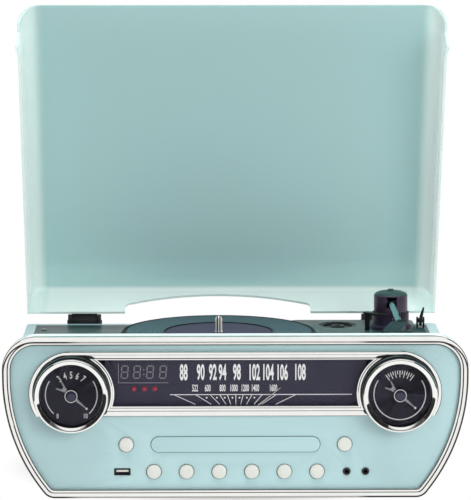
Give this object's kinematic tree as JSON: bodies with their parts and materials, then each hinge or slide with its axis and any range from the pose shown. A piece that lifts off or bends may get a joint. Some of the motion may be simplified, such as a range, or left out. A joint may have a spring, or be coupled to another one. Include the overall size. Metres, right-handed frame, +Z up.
{
  "type": "stereo music centre",
  "caption": "Tabletop record player, radio and disc player in a rounded cabinet with a lit dial, round knobs and a hinged lid.",
  "frame": {"origin": "centre of the footprint of the part with its lid open, at the level of the feet's underside", "axes": "+X to the right seen from the front, +Y to the back, +Z up along the spindle"},
  "size_m": [0.43, 0.3976, 0.4472],
  "materials": {
    "shell_teal": "gloss",
    "panel_teal": "satin",
    "lid_teal": "gloss",
    "chrome": "polished",
    "steel": "satin",
    "tube_silver": "satin",
    "deck_black": "gloss",
    "black_plastic": "satin",
    "dial_black": "matte",
    "clear_window": "gloss",
    "clear_lens": "gloss",
    "rubber": "matte",
    "ivory": "gloss",
    "stylus_red": "gloss",
    "board_green": "satin",
    "cord_tan": "matte",
    "transformer": "matte",
    "bronze": "satin",
    "grey_metal": "satin"
  },
  "bodies": {
    "cabinet": {"cabinet_shell": "shell_teal", "bottom_cover": "grey_metal", "feet": "rubber", "case_screws": "steel", "front_panel": "panel_teal", "trim_ring": "chrome", "dial_bezel": "chrome", "dial_window": "clear_window", "dial_scale": "dial_black", "display_module": "dial_black", "knob_dials": "dial_black", "volume_pot": "grey_metal", "tuning_capacitor": "grey_metal", "dial_cord": "cord_tan", "deck_plate": "deck_black", "platter_bearing": "bronze", "spindle": "steel", "drive_motor": "grey_metal", "drive_belt": "rubber", "tonearm_base": "black_plastic", "arm_rest": "black_plastic", "hinge_bases": "black_plastic", "speakers": "black_plastic", "circuit_boards": "board_green", "power_supply": "transformer", "cd_mechanism": "grey_metal", "usb_socket": "steel", "headphone_jacks": "black_plastic", "rca_jacks": "steel", "power_inlet": "black_plastic", "ferrite_antenna": "transformer"},
    "lid": {"lid": "lid_teal", "hinge_arms": "black_plastic"},
    "platter": {"platter": "black_plastic", "slipmat": "rubber"},
    "pulley": {"motor_pulley": "ivory"},
    "arm_turret": {"tonearm_turret": "black_plastic"},
    "arm": {"arm_tube": "tube_silver", "headshell": "black_plastic", "cartridge": "stylus_red"},
    "cue_lever": {"cue_lever": "black_plastic"},
    "cue_lift": {"cue_lift": "black_plastic"},
    "volume": {"volume_knob": "chrome", "volume_lens": "clear_lens"},
    "tuning": {"tuning_knob": "chrome", "tuning_lens": "clear_lens"},
    "needle": {"dial_needle": "chrome"},
    "tray": {"cd_tray": "black_plastic", "tray_door": "panel_teal"},
    "speed_switch": {"speed_switch": "black_plastic"},
    "autostop_switch": {"autostop_switch": "black_plastic"},
    "adapter": {"adapter_45": "black_plastic"},
    "button_1": {"button_1": "ivory"},
    "button_2": {"button_2": "ivory"},
    "button_3": {"button_3": "ivory"},
    "button_4": {"button_4": "ivory"},
    "button_5": {"button_5": "ivory"},
    "button_6": {"button_6": "ivory"},
    "button_7": {"button_7": "ivory"},
    "button_8": {"button_8": "ivory"}
  },
  "joints": [
    {"name": "lid_hinge", "type": "hinge", "parent": "cabinet", "child": "lid", "pos_m": [0, 0.1612, 0.1147], "axis": [-1, 0, 0], "range_deg": [-67, 0]},
    {"name": "platter_spin", "type": "hinge", "parent": "cabinet", "child": "platter", "pos_m": [-0.014, 0.0292, 0.121], "axis": [0, 0, -1], "continuous": true},
    {"name": "pulley_spin", "type": "hinge", "parent": "cabinet", "child": "pulley", "pos_m": [-0.07057, 0.08577, 0.118], "axis": [0, 0, -1], "continuous": true},
    {"name": "arm_swivel", "type": "hinge", "parent": "cabinet", "child": "arm_turret", "pos_m": [0.161, 0.0972, 0.146], "axis": [0, 0, -1], "range_deg": [0, 53]},
    {"name": "arm_lift", "type": "hinge", "parent": "arm_turret", "child": "arm", "pos_m": [0.161, 0.0972, 0.146], "axis": [-1, 0, 0], "range_deg": [0, 10]},
    {"name": "cue_lever_turn", "type": "hinge", "parent": "cabinet", "child": "cue_lever", "pos_m": [0.1934, 0.1242, 0.122], "axis": [1, 0, 0], "range_deg": [0, 45]},
    {"name": "cue_lift_slide", "type": "slide", "parent": "cabinet", "child": "cue_lift", "axis": [0, 0, 1], "range_m": [0, 0.0045]},
    {"name": "volume_turn", "type": "hinge", "parent": "cabinet", "child": "volume", "pos_m": [-0.151, -0.1908, 0.1056], "axis": [0, 1, 0], "range_deg": [-278, 16]},
    {"name": "tuning_turn", "type": "hinge", "parent": "cabinet", "child": "tuning", "pos_m": [0.151, -0.1908, 0.1056], "axis": [0, 1, 0], "range_deg": [-470, 58]},
    {"name": "needle_turn", "type": "hinge", "parent": "cabinet", "child": "needle", "pos_m": [0, -0.1748, 0.0765], "axis": [0, 1, 0], "range_deg": [-117.5, 14.5]},
    {"name": "tray_slide", "type": "slide", "parent": "cabinet", "child": "tray", "axis": [0, -1, 0], "range_m": [0, 0.135]},
    {"name": "speed_slide", "type": "slide", "parent": "cabinet", "child": "speed_switch", "axis": [1, 0, 0], "range_m": [-0.006, 0.006]},
    {"name": "autostop_slide", "type": "slide", "parent": "cabinet", "child": "autostop_switch", "axis": [1, 0, 0], "range_m": [0, 0.006]},
    {"name": "adapter_lift", "type": "slide", "parent": "cabinet", "child": "adapter", "axis": [0, 0, 1], "range_m": [0, 0.03]},
    {"name": "button_1_press", "type": "slide", "parent": "cabinet", "child": "button_1", "axis": [0, 1, 0], "range_m": [0, 0.0015], "stiffness_N_per_m": 600, "springref_m": -0.001},
    {"name": "button_2_press", "type": "slide", "parent": "cabinet", "child": "button_2", "axis": [0, 1, 0], "range_m": [0, 0.0015], "stiffness_N_per_m": 600, "springref_m": -0.001},
    {"name": "button_3_press", "type": "slide", "parent": "cabinet", "child": "button_3", "axis": [0, 1, 0], "range_m": [0, 0.0015], "stiffness_N_per_m": 600, "springref_m": -0.001},
    {"name": "button_4_press", "type": "slide", "parent": "cabinet", "child": "button_4", "axis": [0, 1, 0], "range_m": [0, 0.0015], "stiffness_N_per_m": 600, "springref_m": -0.001},
    {"name": "button_5_press", "type": "slide", "parent": "cabinet", "child": "button_5", "axis": [0, 1, 0], "range_m": [0, 0.0015], "stiffness_N_per_m": 600, "springref_m": -0.001},
    {"name": "button_6_press", "type": "slide", "parent": "cabinet", "child": "button_6", "axis": [0, 1, 0], "range_m": [0, 0.0015], "stiffness_N_per_m": 600, "springref_m": -0.001},
    {"name": "button_7_press", "type": "slide", "parent": "cabinet", "child": "button_7", "axis": [0, 1, 0], "range_m": [0, 0.0015], "stiffness_N_per_m": 600, "springref_m": -0.001},
    {"name": "button_8_press", "type": "slide", "parent": "cabinet", "child": "button_8", "axis": [0, 1, 0], "range_m": [0, 0.0015], "stiffness_N_per_m": 600, "springref_m": -0.001}
  ],
  "couplings": [
    {"joint": "pulley_spin", "follows": "platter_spin", "ratio": 11},
    {"joint": "cue_lever_turn", "follows": "cue_lift_slide", "rad_per_m": 174.53},
    {"joint": "needle_turn", "follows": "tuning_turn", "ratio": 0.25}
  ]
}
